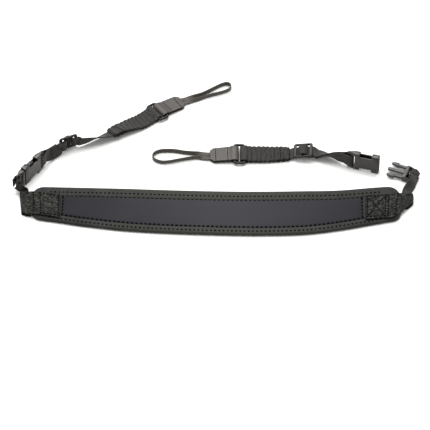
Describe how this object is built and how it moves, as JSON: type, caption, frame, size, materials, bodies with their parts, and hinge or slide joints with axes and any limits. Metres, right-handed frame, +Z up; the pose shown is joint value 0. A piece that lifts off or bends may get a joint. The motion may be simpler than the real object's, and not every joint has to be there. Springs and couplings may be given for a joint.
{
  "type": "camera neck strap",
  "caption": "Padded camera neck strap with two quick-release webbing connectors that end in thin lug loops, one side fastened and the other open.",
  "frame": {"origin": "on the surface the strap lies on, under the middle of the box round the whole strap", "axes": "+X along the pad from the left end to the right, +Y away from the pad's near edge towards the connectors, +Z up from the surface"},
  "size_m": [0.4664, 0.2516, 0.0242],
  "materials": {
    "foam": "black closed-cell foam",
    "binding_cloth": "black woven binding folded round the foam's edge",
    "panel_cloth": "smooth black knit facing",
    "webbing": "woven black nylon webbing",
    "smooth_webbing": "tight, smooth black webbing",
    "loop_tape": "thin woven black tape",
    "plastic": "moulded black plastic with a satin surface"
  },
  "bodies": {
    "root": {"pad_core": "foam", "pad_binding": "binding_cloth", "pad_panel": "panel_cloth", "end_tab_left": "webbing", "neck_strap_left": "webbing", "buckle_male_left": "plastic", "buckle_female_left": "plastic", "connector_web_left": "webbing", "slider_left": "plastic", "gathered_web_left": "webbing", "ring_left": "plastic", "lug_tab_left": "smooth_webbing", "lug_loop_left": "loop_tape", "end_tab_right": "webbing", "neck_strap_right": "webbing", "buckle_male_right": "plastic", "buckle_female_right": "plastic", "connector_web_right": "webbing", "slider_right": "plastic", "gathered_web_right": "webbing", "ring_right": "plastic", "lug_tab_right": "smooth_webbing", "lug_loop_right": "loop_tape"}
  },
  "joints": []
}
